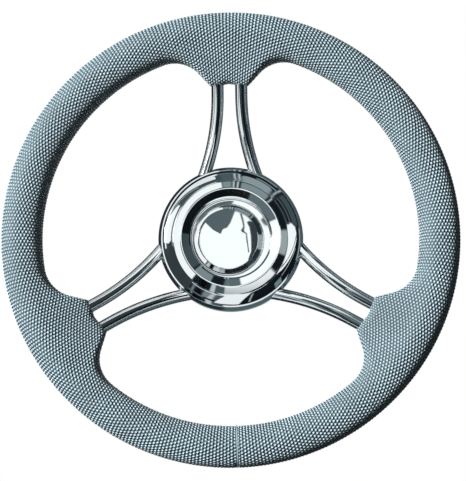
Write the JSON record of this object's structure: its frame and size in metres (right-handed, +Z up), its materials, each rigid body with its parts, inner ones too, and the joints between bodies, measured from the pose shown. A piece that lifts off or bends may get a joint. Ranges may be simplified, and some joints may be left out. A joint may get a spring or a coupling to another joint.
{
  "type": "boat steering wheel",
  "caption": "Boat steering wheel with a grey textured grip, paired polished steel rods and a dished polished hub.",
  "frame": {"origin": "centre of the hub's rear face, on the shaft axis, at the large end of the tapered bore", "axes": "+Y along the shaft away from the driver, +Z up through the upper spoke, +X to the driver's right"},
  "size_m": [0.35, 0.0539, 0.35],
  "materials": {
    "grip_polyurethane": "moulded polyurethane with a fine raised pattern, soft sheen",
    "polished_steel": "mirror polished stainless steel",
    "turned_steel": "turned stainless steel",
    "ring_steel": "drawn steel bar",
    "seat_rubber": "moulded black rubber"
  },
  "bodies": {
    "root": {"rim_grip": "grip_polyurethane", "rim_core_ring": "ring_steel", "spoke_rod_left": "polished_steel", "spoke_rod_lower": "polished_steel", "spoke_rod_right": "polished_steel", "hub_boss": "turned_steel", "hub_plate": "turned_steel", "hub_cover": "polished_steel", "centre_cap": "polished_steel", "cap_seat_ring": "seat_rubber", "cover_studs": "turned_steel", "cover_washers": "turned_steel", "cover_nuts": "turned_steel"}
  },
  "joints": []
}
